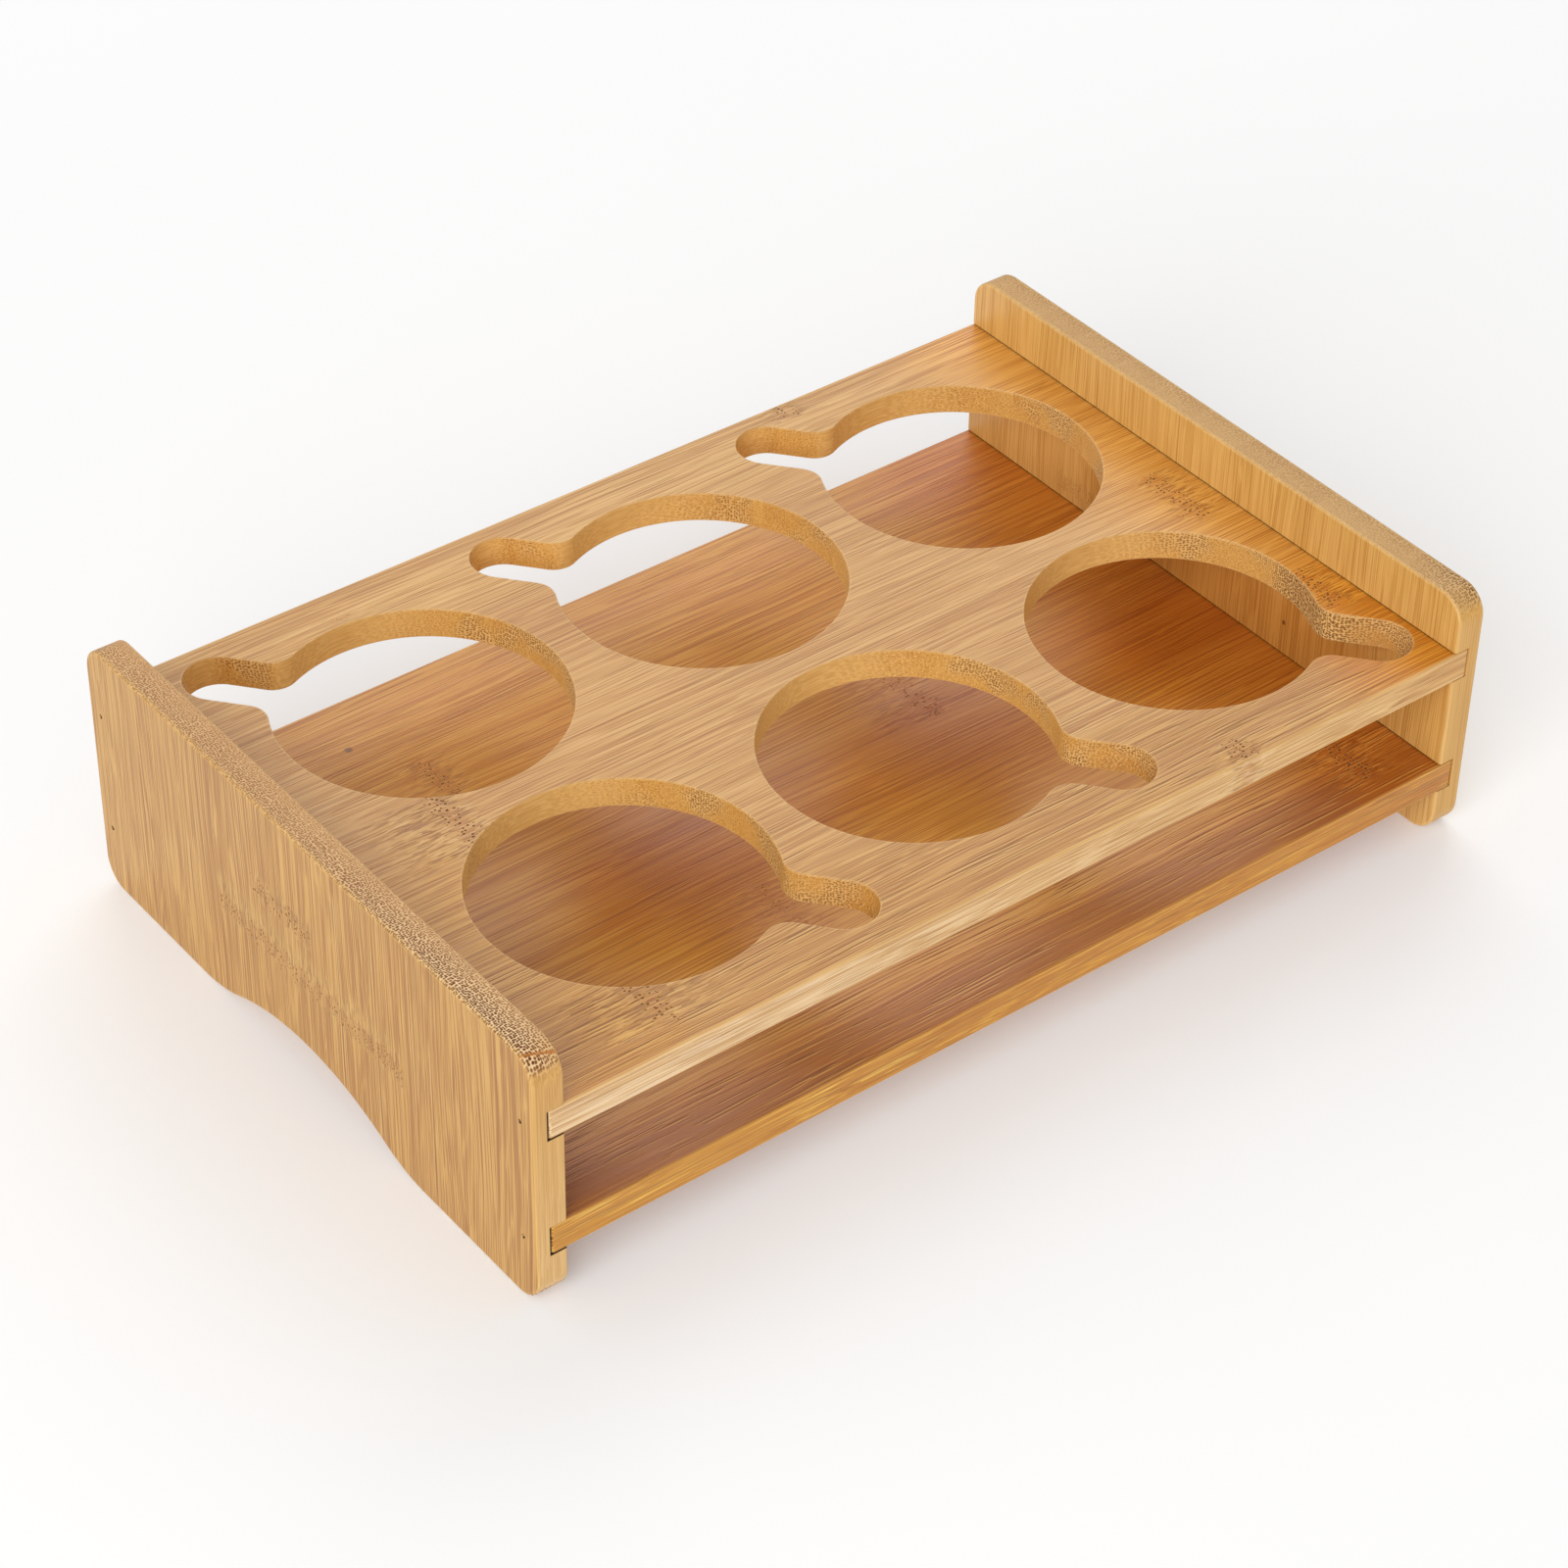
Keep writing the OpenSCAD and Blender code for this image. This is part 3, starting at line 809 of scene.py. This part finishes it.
LEFT_BAMBOO = bamboo(
    "bamboo_left", "z", 14.7, -15.0, 5,
    light=(0.665, 0.376, 0.096), mid=(0.535, 0.268, 0.052), dark=(0.36, 0.142, 0.019),
    knuckles=[(44.5, 8.0, 12.0, 1.0, 5.0, 5.0), (30.0, -2.0, 37.0, 0.85, 5.0, 11.0)], pore=0.62,
    pit_dark=(0.70, 0.58, 0.30), midst_by=0.20, pore_dark=(0.30, 0.12, 0.03),
    skin=(-127.0, -133.0), contrast=1.45, groove_all=0.30, end_zone=(20.0, -80.0, 0.48), end_tint=(1.12, 1.10, 1.55), knot_tint=(1.16, 1.34, 1.70), broad_by=0.35, knot=0.55,
    grooves=[(-15.0, 8.0, 66.0, 0.8), (-29.5, 4.0, 60.0, 0.7), (-43.5, 20.0, 68.0, 0.75), (-46.0, 30.0, 68.0, 0.6),
             (-50.5, 2.0, 50.0, 0.8), (22.0, 10.0, 60.0, 0.5), (46.5, 6.0, 40.0, 0.6), (-71.0, 2.0, 66.0, 0.45)],
    seams=0.5, front=((1.36, 1.62, 2.8), (1.15, 1.18, 1.35), 5.0, 60.0), calm=0.60, glue=(-84.3, 0.28), end_dark=1.0, jitter=0.5, reaches=(0.33, 0.39), ring_tint=(0.93, 0.65, 0.34), end_span=(0.20, 0.72),
    joint_gap_shade=(INNER + 0.1, OUTER, lambda t, z: t.add(*[t.map(t.m("ABSOLUTE", t.m("SUBTRACT", z, m_)), 4.6, 5.0, 1.0, 0.0) for m_ in mids])),
)
RIGHT_BAMBOO = bamboo(
    "bamboo_right", "z", 14.7, -9.0, 17,
    light=(0.82, 0.500, 0.160), mid=(0.74, 0.420, 0.110), dark=(0.55, 0.265, 0.056),
    knuckles=[(26.0, 40.0, 12.0, 0.5, 6.0, 6.0)], pit_dark=(0.75, 0.62, 0.35), midst_by=0.25,
    spots=[(31.0, -32.6, INNER, 0.7, 0.8, (0.10, 0.04, 0.015))],
    skin=(129.0, 134.0), contrast=0.85, groove_all=0.12, end_dark=0.92, jitter=0.6, broad_by=0.55, pore_dark=(0.34, 0.24, 0.12), end_tint=(0.82, 0.78, 0.82), pore=0.66,
    end_zone=(-66.0, -82.0, 0.36),
    # painted shadow of the top board on the side board below it
    painted_light_and_shade=[((14.0, 20.0, 34.0, 46.0), (-68.0, -54.0, 20.0, 50.0), (0.82, 0.66, 0.46))],
    joint_gap_shade=(INNER + 0.1, OUTER, lambda t, z: t.add(*[t.map(t.m("ABSOLUTE", t.m("SUBTRACT", z, m_)), 4.6, 5.0, 1.0, 0.0) for m_ in mids])),
    front=((0.92, 0.86, 0.68), (0.92, 0.85, 0.66), 5.0, 60.0), calm=0.4,
)


def steel(name):
    t = Tree(name)
    tc = t.n("ShaderNodeTexCoord")
    scaled = t.n("ShaderNodeVectorMath", operation="SCALE")
    t.put(scaled.inputs[0], tc.outputs["Object"])
    scaled.inputs["Scale"].default_value = 1000.0
    x, y, z = t.sep(scaled.outputs[0])
    drawn = t.noise(t.xyz(t.mul(x, 0.25), t.mul(y, 9.0), t.mul(z, 9.0)), 3.0, 0.6)
    stain = t.noise(scaled.outputs[0], 3.0, 0.6, scale=0.8)
    col = t.ramp(t.add(t.mul(drawn, 0.5), t.mul(stain, 0.5)), [(0.3, (0.10, 0.085, 0.07)), (0.7, (0.32, 0.31, 0.30))])
    bs = t.n("ShaderNodeBsdfPrincipled")
    t.put(bs.inputs["Base Color"], col)
    bs.inputs["Metallic"].default_value = 1.0
    t.put(bs.inputs["Roughness"], t.map(stain, 0.2, 0.8, 0.38, 0.62, smooth=False))
    bump = t.n("ShaderNodeBump")
    bump.inputs["Distance"].default_value = 0.001
    t.put(bump.inputs["Height"], t.mul(drawn, 0.01))
    t.put(bs.inputs["Normal"], bump.outputs[0])
    t.put(t.n("ShaderNodeOutputMaterial").inputs["Surface"], bs.outputs[0])
    return t.mat


STEEL = steel("pin_steel_wire")
for ob, mat, slot, node in (
    (top, TOP_BAMBOO, "top_bamboo", "top_board"),
    (shelf, SHELF_BAMBOO, "shelf_bamboo", "shelf_board"),
    (left, LEFT_BAMBOO, "side_bamboo", "left_side_board"),
    (right, RIGHT_BAMBOO, "side_bamboo", "right_side_board"),
):
    ob.data.materials.clear()
    ob.data.materials.append(mat)
    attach(ob, "root")
    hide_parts(node)
for node in ("left_top_pins", "left_shelf_pins", "right_top_pins", "right_shelf_pins"):
    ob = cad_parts[node]
    if not ob.material_slots:
        ob.data.materials.append(STEEL)
    for s in ob.material_slots:
        s.material = STEEL


# ---------------------------------------------------------------- stage
def floor_material():
    t = Tree("floor_pale")
    tc = t.n("ShaderNodeTexCoord")
    v = t.noise(tc.outputs["Object"], 2.0, 0.5, scale=3.0)
    bs = t.n("ShaderNodeBsdfPrincipled")
    t.put(bs.inputs["Base Color"], t.ramp(v, [(0.3, (0.80, 0.80, 0.796)), (0.7, (0.82, 0.82, 0.816))]))
    bs.inputs["Roughness"].default_value = 0.9
    bs.inputs["Specular IOR Level"].default_value = 0.1
    bs.inputs["Emission Color"].default_value = (1.0, 1.0, 1.0, 1.0)
    bs.inputs["Emission Strength"].default_value = 0.20
    t.put(t.n("ShaderNodeOutputMaterial").inputs["Surface"], bs.outputs[0])
    return t.mat


bm = bmesh.new()
side = 4.0
corners = [bm.verts.new((sx * side, sy * side, -0.0001)) for sx, sy in ((-1, -1), (1, -1), (1, 1), (-1, 1))]
bm.faces.new(corners)
me = bpy.data.meshes.new("floor")
bm.to_mesh(me)
bm.free()
floor = bpy.data.objects.new("floor", me)
bpy.context.scene.collection.objects.link(floor)
floor.data.materials.append(floor_material())


def area(name, at, to, size, watts, colour=(1, 1, 1), size_y=None):
    data = bpy.data.lights.new(name, "AREA")
    data.energy = watts
    data.color = colour
    data.shape = "RECTANGLE" if size_y else "SQUARE"
    data.size = size
    if size_y:
        data.size_y = size_y
    ob = bpy.data.objects.new(name, data)
    bpy.context.scene.collection.objects.link(ob)
    ob.location = at
    ob.rotation_euler = (Vector(to) - Vector(at)).to_track_quat("-Z", "Y").to_euler()
    return ob


world = bpy.data.worlds.new("studio")
bpy.context.scene.world = world
world.use_nodes = True
wn = world.node_tree
wn.nodes.clear()
bg = wn.nodes.new("ShaderNodeBackground")
bg.inputs["Color"].default_value = (1.0, 1.0, 1.0, 1.0)
bg.inputs["Strength"].default_value = 0.55
wo = wn.nodes.new("ShaderNodeOutputWorld")
wn.links.new(bg.outputs[0], wo.inputs["Surface"])

# radiance of an area light = watts / (pi * area)
area("back_softbox", (1.1, 1.4, 1.45), (0, 0, 0.03), 1.8, 1.8 * 1.8 * math.pi * 1.55)
area("key_softbox", (-1.65, -1.0, 1.15), (0, 0, 0.03), 1.5, 1.5 * 1.5 * math.pi * 4.0)

view = bpy.context.scene.view_settings
view.view_transform = "Standard"
view.look = "None"
view.exposure = 0.0
view.gamma = 1.0
